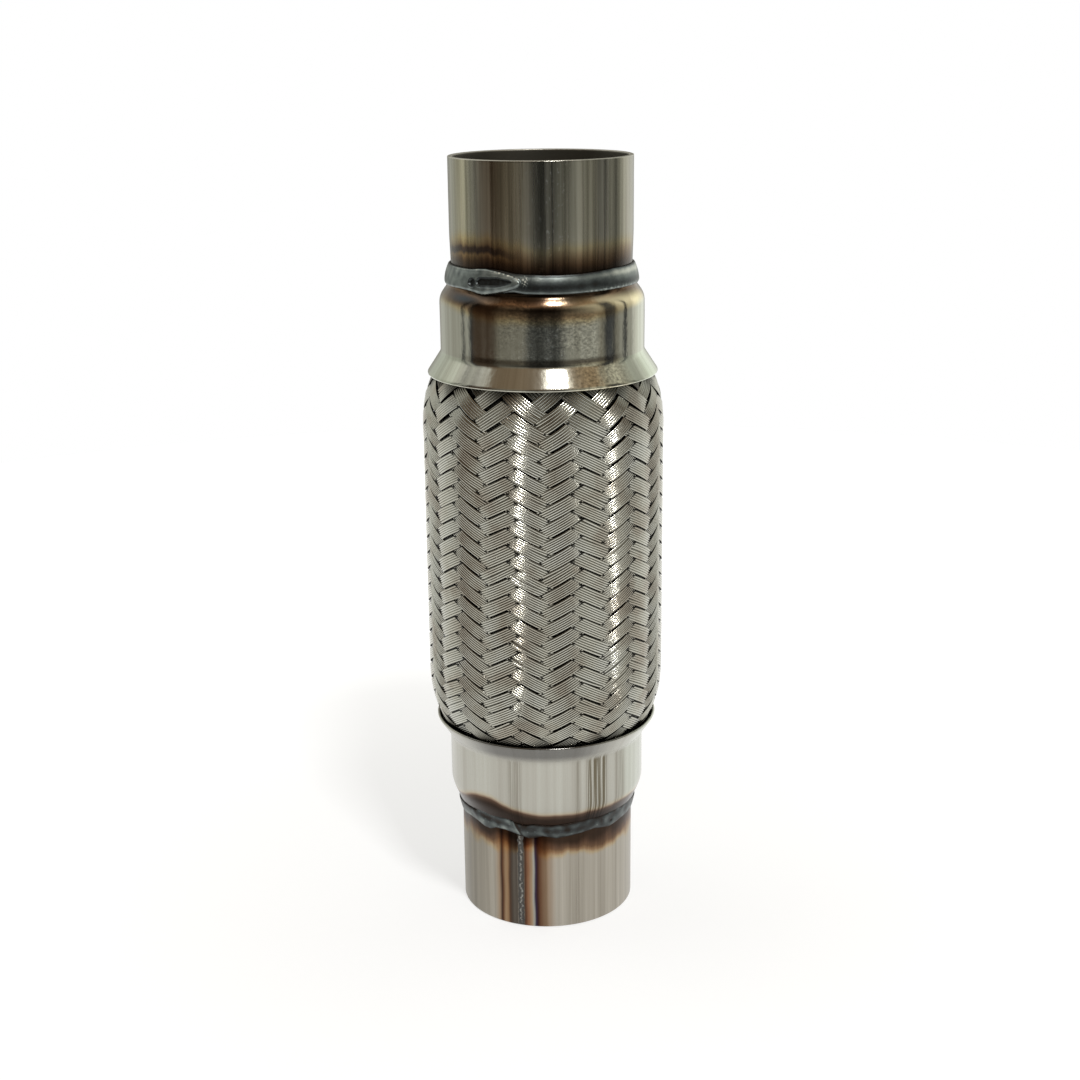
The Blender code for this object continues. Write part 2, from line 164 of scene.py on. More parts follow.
# Camera of the photograph
CAMERA_PLACE = (0.0, -0.45061, 0.23859)
CAMERA_YAW = 0.156
CAMERA_PITCH = 90 - 16.413
CAMERA_ROLL = -0.621
CAMERA_LENS = 56.69

# Cards of the tent round the set, as (azimuth, colour), and the dark band across its front
TENT_RADIUS = 0.62
TENT_HEIGHT = 0.85
TENT_SIDES = 180
DARK = (0.04, 0.045, 0.055)
SHADOW = (0.085, 0.09, 0.09)
BROWN = (0.10, 0.072, 0.052)
SOFT = (0.30, 0.29, 0.25)
PALE = (0.62, 0.63, 0.58)
BRIGHT = (1.0, 1.0, 0.95)
UMBER = (0.30, 0.225, 0.155)
WALL_BANDS = [
    (-180, SOFT), (-168, SOFT), (-150, PALE), (-100, PALE), (-98, DARK), (-96, DARK), (-94, PALE),
    (-88, PALE), (-86, DARK), (-83, DARK), (-81, BROWN), (-56, BROWN), (-48, SOFT), (-22, SOFT),
    (-13, SHADOW), (18, SHADOW), (28, (0.42, 0.42, 0.38)), (66, (0.52, 0.52, 0.47)), (70, SOFT),
    (74, DARK), (84, DARK), (88, SOFT), (99, PALE), (102, DARK), (105, DARK), (108, PALE), (117, PALE),
    (123, BRIGHT), (154, BRIGHT), (170, SOFT), (180, SOFT),
]
CEILING_BANDS = [
    (-180, SOFT), (-120, BRIGHT), (-73, BRIGHT), (-67, UMBER), (72, UMBER), (82, PALE), (120, PALE),
    (180, SOFT),
]
HORIZON_HEIGHT = 0.36
HORIZON_REACH = 0.28

# Light of the white world on the set, and the floor's grey and least glow, which next to the pipe paints a
# soft grey shade round it
WORLD_LIGHT = 0.6
FLOOR_GREY = 0.45
FLOOR_GLOW = 0.64


def smooth(value, low, high):
    """Smooth step from 0 at low to 1 at high."""
    share = np.clip((value - low) / (high - low), 0.0, 1.0)
    return share * share * (3 - 2 * share)


def bell(value, middle, width):
    """Bell curve that is 1 at a middle."""
    return np.exp(-(((value - middle) / width) ** 2))


def ripple(azimuth, height, seed):
    """Slow irregular wave between about -1 and 1 over a turned surface."""
    rng = np.random.default_rng(seed)
    total = np.zeros(np.broadcast(azimuth, height).shape)
    for turns in (2, 3, 5, 8, 13):
        phase, tilt = rng.uniform(0, 2 * pi), rng.uniform(-1, 1)
        total += np.sin(turns * azimuth + phase + 90 * turns * tilt * height) / turns**0.5
    return total / 2.2


def on_pipe(azimuth, radius, height):
    """Points at azimuths in radians, radii and heights."""
    return np.stack(np.broadcast_arrays(radius * np.sin(azimuth), -radius * np.cos(azimuth), height), axis=-1)


def lower(reach):
    """Height of a point that lies this far from the lower end."""
    return reach


def upper(reach):
    """Height of a point that lies this far from the upper end."""
    return PIPE_LENGTH - reach


def grid_faces(rows, columns, closed_rows):
    """Quads over a grid of points whose columns close up, and whose rows may."""
    row = np.arange(rows if closed_rows else rows - 1)[:, None]
    column = np.arange(columns)[None, :]
    after_row = (row + 1) % rows
    after_column = (column + 1) % columns
    corners = [
        row * columns + column,
        row * columns + after_column,
        after_row * columns + after_column,
        after_row * columns + column,
    ]
    return np.stack(np.broadcast_arrays(*corners), axis=-1).reshape(-1, 4)


def make_mesh(name, points, quads, caps=()):
    """Closed mesh with its faces pointing out, from points, quads and many-sided caps."""
    first, second, third, fourth = (points[quads[:, i]] for i in range(4))
    twice = np.einsum("ij,ij->i", first, np.cross(second, third) + np.cross(third, fourth))
    if twice.sum() < 0:
        quads = quads[:, ::-1]
        caps = [cap[::-1] for cap in caps]
    mesh = bpy.data.meshes.new(name)
    loops = np.concatenate([quads.ravel(), *caps]).astype(np.int32)
    sizes = np.concatenate([np.full(len(quads), 4), [len(cap) for cap in caps]]).astype(np.int32)
    mesh.vertices.add(len(points))
    mesh.vertices.foreach_set("co", points.astype(np.float32).ravel())
    mesh.loops.add(len(loops))
    mesh.loops.foreach_set("vertex_index", loops)
    mesh.polygons.add(len(sizes))
    mesh.polygons.foreach_set("loop_start", np.concatenate([[0], np.cumsum(sizes)[:-1]]).astype(np.int32))
    mesh.update(calc_edges=True)
    mesh.validate()
    mesh.shade_smooth()
    return mesh


def store(mesh, name, values):
    """Keeps a number for each point of a mesh."""
    attribute = mesh.attributes.new(name, "FLOAT", "POINT")
    attribute.data.foreach_set("value", values.astype(np.float32).ravel())


def add_piece(name, mesh, material, slot, *nodes):
    """A piece of the pipe that stands for CAD nodes."""
    mesh.materials.append(material)
    piece = bpy.data.objects.new(name, mesh)
    bpy.context.scene.collection.objects.link(piece)
    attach(piece, "root")
    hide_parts(*nodes)


def sheet_section(line, wall):
    """Closed section of a sheet with round edges whose outside follows a line of (radius, reach) points."""
    line = np.array(line)
    along = np.gradient(line, axis=0)
    along /= np.linalg.norm(along, axis=1)[:, None]
    across = np.stack([along[:, 1], -along[:, 0]], axis=1)
    inside = line - across * wall
    ends = []
    for index, sign in ((-1, 1), (0, -1)):
        middle = (line[index] + inside[index]) / 2
        for angle in np.radians((36, 72, 108, 144)):
            if sign < 0:
                angle = pi - angle
            ends.append(middle + wall / 2 * (across[index] * cos(angle) + sign * along[index] * sin(angle)))
    return np.concatenate([line, ends[:4], inside[::-1], ends[4:]])


def turned_mesh(name, section, height_of, segments, unevenness=0.0, seed=0):
    """A section of (radius, reach) points spun about the pipe axis, slightly uneven as pressed steel is."""
    azimuth = np.linspace(0, 2 * pi, segments, endpoint=False)[:, None]
    radius, reach = section[:, 0][None, :], section[:, 1][None, :]
    radius = radius - unevenness * (1 + ripple(azimuth, height_of(reach), seed)) / 2
    points = on_pipe(azimuth, radius, height_of(reach)).reshape(-1, 3)
    mesh = make_mesh(name, points, grid_faces(segments, len(section), True))
    mesh.set_sharp_from_angle(angle=radians(50))
    return mesh


class Value:
    """Output of a node, to be added, taken away and multiplied like a number."""

    def __init__(self, tree, socket):
        self.tree = tree
        self.socket = socket

    def math(self, operation, *others, clamp=False):
        """Result of one operation on this value and others."""
        return add_node(self.tree, "Math", (self, *others), operation=operation, use_clamp=clamp)

    def __add__(self, other):
        return self.math("ADD", other)

    def __sub__(self, other):
        return self.math("SUBTRACT", other)

    def __mul__(self, other):
        return self.math("MULTIPLY", other)

    def __abs__(self):
        return self.math("ABSOLUTE")


def put(socket, value):
    """Sets a socket to a number, a colour or another node's output."""
    if isinstance(value, Value):
        value.tree.links.new(value.socket, socket)
    elif isinstance(value, tuple) and len(value) == 3 and len(socket.default_value) == 4:
        socket.default_value = (*value, 1.0)
    else:
        socket.default_value = value


def add_node(tree, kind, sockets=(), output=0, **settings):
    """Output of a new node, once it has its settings and what goes into its sockets."""
    node = tree.nodes.new("ShaderNode" + kind)
    for name, setting in settings.items():
        setattr(node, name, setting)
    for key, value in sockets.items() if isinstance(sockets, dict) else enumerate(sockets):
        put(node.inputs[key], value)
    return Value(tree, node.outputs[output])


def span(value, low, high):
    """Smooth step from 0 at low to 1 at high, or down again if high is the smaller."""
    ends = (0.0, 1.0) if low < high else (1.0, 0.0)
    sockets = (value, min(low, high), max(low, high), *ends)
    return add_node(value.tree, "MapRange", sockets, interpolation_type="SMOOTHSTEP")


def near(value, middle, reach):
    """1 at a middle, falling smoothly to 0 at a reach to both sides."""
    return span(abs(value - middle), reach, 0.0)


def band(value, middle, half, edge):
    """1 within half a width of a middle, falling to 0 over a soft edge."""
    return span(abs(value - middle), half + edge, half - edge)


class Paint:
    """Material in the making: its nodes, and the colour and roughness that its layers have come to."""

    def __init__(self, name, metallic=1.0):
        self.material = bpy.data.materials.new(name)
        self.material.use_nodes = True
        self.tree = self.material.node_tree
        self.shader = self.tree.nodes["Principled BSDF"]
        self.shader.inputs["Metallic"].default_value = metallic
        self.place = self.node("TexCoord", (), "Object")
        split = self.tree.nodes.new("ShaderNodeSeparateXYZ")
        put(split.inputs[0], self.place)
        self.x, self.y, self.z = (Value(self.tree, socket) for socket in split.outputs)
        self.radius = (self.x * self.x + self.y * self.y).math("SQRT")
        self.azimuth = self.x.math("ARCTAN2", self.y * -1.0) * (180 / pi)

    def node(self, kind, sockets=(), output=0, **settings):
        """Output of a new node of this material."""
        return add_node(self.tree, kind, sockets, output, **settings)

    def draw_in(self, radius):
        """Carries the noises' place to one radius, so that streaks follow the pipe on a flare too."""
        scale = self.node("Math", (radius, self.radius), operation="DIVIDE")
        self.place = self.node("CombineXYZ", (self.x * scale, self.y * scale, self.z))

    def attribute(self, name):
        """A number that is stored on the mesh's points."""
        return self.node("Attribute", (), "Fac", attribute_name=name)

    def noise(self, scale, detail=3.0, stretch=(1, 1, 1), roughness=0.5):
        """Noise between 0 and 1, with a scale per metre and a stretch of it along each axis."""
        place = self.node("Mapping", {"Vector": self.place, "Scale": stretch})
        sockets = {"Vector": place, "Scale": scale, "Detail": detail, "Roughness": roughness}
        return self.node("TexNoise", sockets, "Fac")

    def ramp(self, value, *stops):
        """Colour along (position, colour) stops."""
        node = self.tree.nodes.new("ShaderNodeValToRGB")
        elements = node.color_ramp.elements
        while len(elements) < len(stops):
            elements.new(0.5)
        for element, (position, _) in zip(elements, stops):
            element.position = position
        for element, (position, colour) in zip(elements, stops):
            element.position = position
            element.color = (*colour, 1.0)
        put(node.inputs[0], value)
        return Value(self.tree, node.outputs[0])

    def round_ramp(self, azimuth, stops):
        """Colour along (azimuth, colour) stops."""
        start, end = stops[0][0], stops[-1][0]
        share = (azimuth - start).math("DIVIDE", end - start)
        return self.ramp(share, *(((stop - start) / (end - start), colour) for stop, colour in stops))

    def mix(self, share, first, second, blend="MIX"):
        """Second colour over the first one by a share."""
        sockets = {0: share, 6: first, 7: second}
        return self.node("Mix", sockets, 2, data_type="RGBA", blend_type=blend)

    def cover(self, share, colour):
        """Lays a colour over what is there by a share."""
        self.colour = self.mix(share, self.colour, colour)

    def tint(self, share, tint):
        """Multiplies the colour by a tint where the share is 1."""
        self.colour = self.mix(share, self.colour, tint, "MULTIPLY")

    def bump(self, height, strength, distance):
        """Relief of the surface's shading."""
        sockets = {"Strength": strength, "Distance": distance, "Height": height}
        put(self.shader.inputs["Normal"], self.node("Bump", sockets))

    def finish(self):
        """The material, once its layers are done."""
        put(self.shader.inputs["Base Color"], self.colour)
        put(self.shader.inputs["Roughness"], self.roughness)
        return self.material

    def show(self, shader):
        """The material, with another shader in place of the metal one."""
        put(self.tree.nodes["Material Output"].inputs["Surface"], shader)
        return self.material


def streaked_steel(name, pale, dark, rough, smooth_rough, streaks=900.0, peel=1.0):
    """Paint of drawn steel with fine streaks along the pipe, for more layers."""
    paint = Paint(name)
    paint.draw_in(STUB_RADIUS)
    fine = paint.noise(streaks, 4.0, (1, 1, 0.012), 0.6)
    share = fine * 0.55 + paint.noise(170.0, 2.0, (1, 1, 0.03)) * 0.45
    paint.colour = paint.ramp(share, (0.36, dark), (0.62, pale))
    paint.roughness = span(share, 0.35, 0.65) * (rough - smooth_rough) + smooth_rough
    grain = fine + paint.noise(2600.0, 2.0) * 0.15
    paint.bump(grain + paint.noise(430.0, 3.5, (1, 1, 0.7)) * peel, 0.12, 0.00005)
    return paint


def dull_inside(paint):
    """The bore of a stub is darker and duller than its outside."""
    inside = span(paint.radius, STUB_RADIUS - 0.55 * STUB_WALL, STUB_RADIUS - 0.85 * STUB_WALL)
    paint.cover(inside, (0.15, 0.14, 0.115))
    paint.roughness = paint.roughness.math("MAXIMUM", inside * 0.45)


def upper_stub_material():
    """Olive-grey drawn tube, straw to dark brown heat tint above the weld, painted bands of reflection and
    shade round it, and a painted contact shadow at the weld.
    """
    paint = streaked_steel(
        "upper stub steel", (0.45, 0.435, 0.365), (0.18, 0.17, 0.137), 0.34, 0.20, 900.0, 1.5
    )
    paint.tint(near(paint.azimuth, -24.0, 26.0) * 0.8, (0.80, 0.68, 0.56))
    # Painted reflections and shade: bands at fixed azimuths, lighter at -57 and 57 degrees and darker at 8
    # and 31 degrees, over the real streaks.
    strips = (
        (-57.0, 8.0, 7.0, (1.52, 1.47, 1.30)),
        (8.0, 12.0, 6.0, (0.62, 0.62, 0.60)),
        (31.0, 7.0, 5.0, (0.80, 0.79, 0.76)),
        (57.0, 8.0, 6.0, (1.18, 1.17, 1.12)),
    )
    for middle, half, edge, tint in strips:
        paint.tint(band(paint.azimuth, middle, half, edge), tint)
    flecks = span(paint.noise(1300.0, 3.0, (1, 1, 0.5), 0.6), 0.60, 0.68)
    paint.cover(flecks * near(paint.azimuth, 4.0, 20.0) * 0.7, (0.50, 0.50, 0.46))
    drift = paint.noise(75.0, 3.0, (1, 1, 0.3)) * 0.006
    fingers = paint.noise(500.0, 2.0, (1, 1, 0.04)) * 0.002
    height = paint.z + (drift + fingers) - near(paint.azimuth, -55.0, 45.0) * 0.0014
    # Heat tint, darkest next to the weld. That last dark stop is also a painted contact shadow along the
    # bead's top edge.
    heat = span(height, 0.1955, 0.1860)
    tint = paint.ramp(
        heat,
        (0.0, NO_TINT),
        (0.20, (1.02, 0.88, 0.64)),
        (0.40, (0.60, 0.45, 0.31)),
        (0.52, (0.17, 0.12, 0.115)),
        (0.66, (0.13, 0.10, 0.10)),
        (0.77, (0.50, 0.34, 0.21)),
        (0.90, (0.22, 0.14, 0.095)),
        (1.0, (0.09, 0.06, 0.05)),
    )
    plain_tint = paint.ramp(
        heat,
        (0.0, NO_TINT),
        (0.22, (1.0, 0.90, 0.70)),
        (0.42, (0.72, 0.58, 0.44)),
        (0.66, (0.42, 0.30, 0.22)),
        (0.86, (0.22, 0.14, 0.10)),
        (1.0, (0.07, 0.048, 0.04)),
    )
    paint.tint(1.0, paint.mix(span(paint.azimuth, -34.0, -8.0), tint, plain_tint))
    dull_inside(paint)
    rim = span(paint.z, PIPE_LENGTH - 0.00035, PIPE_LENGTH - 0.00012)
    paint.cover(rim * 0.8, (0.62, 0.60, 0.53))
    return paint.finish()


def lower_stub_material():
    """Warm grey drawn tube with brown streaks along its seam and a ragged brown fringe under the weld, a
    painted shade on its left side and a painted shadow under the bead.
    """
    paint = streaked_steel(
        "lower stub steel", (0.485, 0.452, 0.39), (0.255, 0.232, 0.19), 0.40, 0.26, 560.0, 1.5
    )
    # Painted shade: the left side is darker.
    paint.tint(near(paint.azimuth, -64.0, 42.0), (0.56, 0.55, 0.52))
    waver = paint.noise(300.0, 2.0, (1, 1, 0.3)) * 1.6 - 0.8
    paint.tint(1.0, paint.round_ramp(paint.azimuth + waver, SEAM_TINTS))
    ragged = paint.noise(150.0, 1.5, (1, 1, 0.7), 0.4) * 0.0085
    fibres = paint.noise(900.0, 2.0, (1, 1, 0.25)) * 0.0014
    blotch = near(paint.azimuth, 18.0, 24.0) * 0.0014
    # Heat tint fringe. Its darkest stop right under the bead is also a painted undercut shadow.
    fringe = paint.ramp(
        span(paint.z + (ragged + fibres + blotch), 0.0257, 0.0326),
        (0.0, NO_TINT),
        (0.16, (1.05, 0.90, 0.68)),
        (0.36, (0.70, 0.48, 0.32)),
        (0.58, (0.36, 0.23, 0.16)),
        (0.80, (0.235, 0.148, 0.113)),
        (1.0, (0.10, 0.068, 0.055)),
    )
    paint.tint(1.0, fringe)
    dull_inside(paint)
    return paint.finish()


def upper_collar_material():
    """Polished pressing, slightly peeled, with brown, copper, gold and blue heat tints on its shoulder. It
    also carries a painted sheen round the shoulder's highlight, a painted glow beside the flare's highlight,
    painted reflections lighter at the flare's sides and on the right, painted shade in the bend where the
    flare starts, and a painted contact shadow by the bead.
    """
    paint = streaked_steel(
        "upper collar steel", (0.50, 0.495, 0.43), (0.34, 0.325, 0.27), 0.16, 0.09, 500.0, 9.0
    )
    azimuth = paint.azimuth
    flare = span(paint.z, 0.1601, 0.1596)
    # Gold speckle on the flare, brightened as a painted glow beside the lamp's highlight.
    gold_speckle_and_glow = flare * band(azimuth, 31.0, 15.0, 8.0)
    zones = span(paint.noise(140.0, 2.0), 0.36, 0.52).math("SUBTRACT", flare, clamp=True)
    zones = zones * band(azimuth, 4.0, 28.0, 10.0)
    grains = paint.noise(1250.0, 4.0, (1, 1, 1.3), 0.65) * 2.0 - 1.0
    paint.tint(1.0, grains * zones.math("MAXIMUM", gold_speckle_and_glow) * 1.3 + 1.0)
    pits = span(paint.noise(1700.0, 3.0, (1, 1, 0.9), 0.6), 0.62, 0.68)
    paint.cover(pits * zones * 0.6, (0.12, 0.11, 0.09))
    flecks = span(paint.noise(1150.0, 3.0, (1, 1, 0.8), 0.6), 0.60, 0.67) * band(azimuth, 3.0, 11.0, 6.0)
    paint.cover(flecks.math("SUBTRACT", flare, clamp=True) * 0.6, (0.78, 0.79, 0.72))
    # Painted shade: a dark band in the bend where the flare starts, on the front.
    rim = band(paint.z, 0.1602, 0.0007, 0.0005) * band(azimuth, 0.0, 44.0, 14.0)
    paint.tint(rim * 0.85, (0.26, 0.22, 0.19))
    # Painted glow: the gold speckled part of the flare is brightened.
    paint.tint(gold_speckle_and_glow, (1.42, 1.36, 1.20))
    # Painted reflection: the flare is lighter towards its sides.
    paint.tint(flare * span(abs(azimuth), 42.0, 54.0), (1.12, 1.18, 1.14))
    drift = paint.noise(90.0, 3.0, (1, 1, 0.5)) * 0.004
    height = paint.z + drift - span(abs(azimuth), 20.0, 70.0) * 0.0032
    # Heat tints on the shoulder. The copper stops lie where the lamp's highlight falls, partly a painted
    # sheen, and the darkest stops next to the bead are also a painted contact shadow.
    tint = paint.ramp(
        span(height, 0.1705, 0.1790),
        (0.0, NO_TINT),
        (0.14, (1.02, 0.88, 0.66)),
        (0.26, (0.76, 0.56, 0.38)),
        (0.40, (0.44, 0.30, 0.21)),
        (0.60, (0.33, 0.22, 0.16)),
        (0.72, (0.48, 0.32, 0.23)),
        (0.81, (0.74, 0.50, 0.37)),
        (0.88, (0.36, 0.235, 0.175)),
        (0.94, (0.15, 0.10, 0.075)),
        (1.0, (0.09, 0.06, 0.045)),
    )
    paint.tint(1.0, tint)
    # Painted sheen: away from the highlight's azimuth the shoulder is darker, so the copper shows only round
    # the highlight.
    beside = span(abs(azimuth - 8.0), 22.0, 50.0) * span(paint.z, 0.1728, 0.1745)
    paint.tint(beside, (0.62, 0.58, 0.54))
    paint.cover(near(azimuth, -50.0, 26.0) * near(paint.z, 0.1752, 0.0020), (0.045, 0.051, 0.055))
    paint.cover(near(azimuth, 48.0, 46.0) * near(paint.z, 0.1742, 0.0026), (1.0, 0.87, 0.58))
    # Painted reflection: the right side is lighter.
    paint.tint(band(azimuth, 76.0, 14.0, 5.0), (1.26, 1.33, 1.30))
    satin = (flare * 0.15).math("MAXIMUM", span(paint.z, 0.1722, 0.1810))
    paint.roughness = paint.roughness.math("MAXIMUM", satin.math("MINIMUM", 0.17))
    return paint.finish()


def lower_collar_material():
    """Pale pressing with fine dark streaks, brown heat tint below its shoulder, lighter on its right as a
    painted reflection and darker under its lip as painted shade.
    """
    paint = streaked_steel(
        "lower collar steel", (0.47, 0.465, 0.415), (0.37, 0.355, 0.31), 0.24, 0.13, 600.0, 2.5
    )
    azimuth = paint.azimuth
    streaks = span(paint.noise(3300.0, 3.0, (1, 1, 0.008), 0.6), 0.38, 0.52)
    streaks = streaks * span(paint.z, 0.0522, 0.0502)
    strips = ((30.5, 6.5, 1.0), (-19.0, 4.0, 0.40), (18.0, 1.2, 0.55), (48.0, 4.0, 0.40))
    for middle, half, share in strips:
        paint.tint(band(azimuth, middle, half, 1.5) * streaks * share, (0.34, 0.30, 0.235))
    # Painted reflection: the right side is lighter.
    paint.tint(span(azimuth, 42.0, 60.0), (1.24, 1.30, 1.30))
    shaded = span(paint.z, 0.0506, 0.0536) * band(azimuth, -6.0, 36.0, 16.0)
    paint.tint(shaded, (0.42, 0.42, 0.44))
    smoke = near(azimuth, -38.0, 30.0) * 0.0032
    drift = paint.noise(70.0, 3.0, (1, 1, 0.5)) * 0.004
    tint = paint.ramp(
        span(paint.z - smoke + drift, 0.0392, 0.0352),
        (0.0, NO_TINT),
        (0.26, (0.99, 0.90, 0.78)),
        (0.44, (0.62, 0.46, 0.37)),
        (0.60, (0.22, 0.14, 0.11)),
        (1.0, (0.065, 0.042, 0.034)),
    )
    paint.tint(1.0, tint)
    return paint.finish()


def weld_material(name, mid, pale, rough=0.26):
    """Weld metal coloured by a stored tone: dark brown in pits, pale on bright edges, slightly scaly. The
    tone also holds painted highlights, painted shade and painted contact shadows.
    """
    paint = Paint(name, 0.85)
    grains = paint.noise(2200.0, 3.0)
    patches = paint.noise(330.0, 3.0)
    share = paint.attribute("tone") + (patches * 0.14 - 0.07) + (grains * 0.14 - 0.07)
    paint.colour = paint.ramp(
        share,
        (0.08, (0.022, 0.016, 0.012)),
        (0.26, (0.045, 0.050, 0.050)),
        (0.46, mid),
        (0.64, pale),
        (0.90, (0.72, 0.74, 0.66)),
    )
    paint.roughness = grains * 0.24 + rough
    paint.bump(grains + patches, 0.14, 0.0001)
    return paint.finish()


def wire_material():
    """Bright drawn wire, a little warmer in places, with painted shade in the grooves and under the lips, and
    a painted contact shadow where a ribbon dives under another.
    """
    paint = Paint("braid wire")
    paint.colour = paint.ramp(
        paint.noise(120.0, 4.0),
        (0.35, (0.37, 0.34, 0.28)),
        (0.5, (0.46, 0.45, 0.385)),
        (0.68, (0.51, 0.51, 0.455)),
    )
    # Painted shade from the stored shade, and a painted contact shadow along the edge of each ribbon that
    # lies over.
    contact_shadow = span(paint.attribute("cover"), -0.00028, -0.00002)
    paint.tint(1.0, paint.attribute("shade") * (contact_shadow * -0.95 + 1.0))
    paint.roughness = paint.noise(700.0, 2.0) * 0.08 + 0.14
    return paint.finish()


def bellows_material():
    """Thin dull bellows sheet, its dark colour a painted shade for the dark behind the braid."""
    paint = Paint("bellows steel")
    paint.colour = paint.ramp(paint.noise(200.0), (0.3, (0.10, 0.09, 0.08)), (0.7, (0.20, 0.19, 0.17)))
    paint.roughness = paint.noise(500.0) * 0.2 + 0.35
    return paint.finish()


def liner_material():
    """Dull woven wire of the liner."""
    paint = Paint("liner wire")
    paint.colour = paint.ramp(paint.noise(300.0), (0.3, (0.20, 0.19, 0.17)), (0.7, (0.40, 0.38, 0.34)))
    paint.roughness = 0.42
    turn = paint.x.math("ARCTAN2", paint.y) * 48.0
    rising, falling = (abs((turn + paint.z * slope).math("SINE")) for slope in (2500.0, -2500.0))
    paint.bump(rising.math("MAXIMUM", falling), 0.8, 0.0003)
    return paint.finish()


def ring_material():
    """Satin cut ring."""
    return streaked_steel("ring steel", (0.50, 0.48, 0.43), (0.34, 0.32, 0.27), 0.40, 0.28).finish()


def make_stub(name, height_of, material, pinch):
    """Plain tube with a rounded free rim, pinched a little where it runs into the weld."""
    reach = np.concatenate([[RIM_ROUND, 0.0006, 0.0015], np.linspace(0.004, UPPER_NECK_END, 15), [STUB_END]])
    radius = STUB_RADIUS - pinch * smooth(reach, PINCH_START, PINCH_END)
    outside = np.column_stack([radius, reach])
    inside = np.column_stack([np.full(len(reach), STUB_RADIUS - STUB_WALL), reach])[::-1]
    rim = []
    for angle in np.linspace(0, pi, 9)[1:-1]:
        rim.append((STUB_RADIUS - STUB_WALL / 2 * (1 + cos(angle)), RIM_ROUND * (1 - sin(angle))))
    section = np.concatenate([outside, inside, rim])
    mesh = turned_mesh(name, section, height_of, 240, STUB_UNEVENNESS, STUB_SEED)
    add_piece(name, mesh, material, name + "_steel", name + "_pipe")


def bend(slope, samples):
    """Share of a step from 0 to 1 that is climbed along a curve, from its slope at each of some samples."""
    share = np.linspace(0, 1, 400)
    climbed = np.concatenate([[0], np.cumsum((slope(share)[1:] + slope(share)[:-1]) / 2)])
    return np.interp(samples, share, climbed / climbed[-1])


def collar_outside(neck_end, shoulder_shape):
    """Outside of a collar as (radius, reach) points, from the neck's edge to the lip.

    A shoulder's shape is its start, its length, and the shares of it where its slope starts and ends fading.
    """
    start, length, fade_start, fade_end = shoulder_shape
    share = np.linspace(0, 1, 15)
    shoulder_rise = bend(lambda t: smooth(t, -0.02, 0.08) * (1 - smooth(t, fade_start, fade_end)), share)
    shoulder_radius = NECK_RADIUS + (BARREL_RADIUS - NECK_RADIUS) * shoulder_rise
    shoulder = np.column_stack([shoulder_radius, start + length * share])
    barrel = [(BARREL_RADIUS, reach) for reach in np.linspace(shoulder[-1, 1], FLARE_START, 7)[1:-1]]
    flare_height = LIP_RADIUS - LIP_INSET - BARREL_RADIUS
    flare_length = LIP_END - LIP_SETBACK - FLARE_START
    flare_rise = bend(lambda t: smooth(t, 0.0, 0.24), share)
    flare = np.column_stack([BARREL_RADIUS + flare_height * flare_rise, FLARE_START + flare_length * share])
    neck_reaches = (neck_end + COLLAR_WALL / 2, (neck_end + start) / 2 + COLLAR_WALL / 4)
    neck = [(NECK_RADIUS, reach) for reach in neck_reaches]
    return np.concatenate([neck, shoulder, barrel, flare])


def make_collar(end, height_of, neck_end, shoulder_shape, material):
    """Pressed collar with a domed shoulder and a flared lip."""
    section = sheet_section(collar_outside(neck_end, shoulder_shape), COLLAR_WALL)
    mesh = turned_mesh(end + "_collar", section, height_of, 288, COLLAR_UNEVENNESS, COLLAR_SEED)
    add_piece(end + "_collar", mesh, material, end + "_collar_steel", end + "_end_collar")


def bead_azimuths():
    """Azimuths of a weld bead's sections in degrees, closer together on the worked side in front."""
    return np.concatenate([np.arange(-90, 90, 0.35), np.arange(90, 270, 1.5)])


def mottle(azimuth, height, wavelength, seed):
    """Irregular waves of about one wavelength over a turned surface, mostly between -1 and 1."""
    rng = np.random.default_rng(seed)
    total = np.zeros(np.broadcast(azimuth, height).shape)
    waves = 16
    for _ in range(waves):
        angle, phase = rng.uniform(0, 2 * pi, 2)
        length = wavelength * rng.uniform(0.7, 1.5)
        turns = round(2 * pi * STUB_RADIUS / length * cos(angle))
        total += np.sin(turns * azimuth + 2 * pi / length * sin(angle) * height + phase)
    return total / waves**0.5


def make_bead(end, low_edge, high_edge, steepness, detail, material):
    """Weld bead between two edge lines: a fillet that climbs from the stub to the collar's neck.

    Each edge line holds (azimuth, height) points. The neck is above where the steepness is positive, and
    below otherwise. The detail gives the rise over that fillet and the tone: 0 in a pit, 1 on a bright edge.
    The tone also carries painted highlights and shade.
    """
    azimuth = bead_azimuths()[:, None]
    low = np.interp(azimuth, *zip(*low_edge), period=360)
    high = np.interp(azimuth, *zip(*high_edge), period=360)
    across = np.linspace(-1, 1, 57)[None, :]
    height = (low + high) / 2 + (high - low) / 2 * np.sin(across * pi / 2)
    climb = (height - low) / (high - low)
    seat = STUB_RADIUS + BEAD_SEAT
    fillet = seat + (NECK_RADIUS - seat) * np.clip(0.5 + steepness * (climb - 0.5), 0.0, 1.0)
    rise, tone = detail(azimuth, height, climb, np.cos(across * pi / 2) ** 0.7)
    top = on_pipe(np.radians(azimuth), fillet + rise, height)
    sides = [on_pipe(np.radians(azimuth), STUB_RADIUS - BEAD_ROOT, edge) for edge in (high, low)]
    points = np.concatenate([top, *sides], axis=1)
    mesh = make_mesh(end + "_weld", points.reshape(-1, 3), grid_faces(len(azimuth), points.shape[1], True))
    tones = np.concatenate([tone, np.full((len(azimuth), 2), SIDE_TONE)], axis=1)
    store(mesh, "tone", tones)
    add_piece(end + "_weld", mesh, material, "weld_metal", end + "_weld_bead")


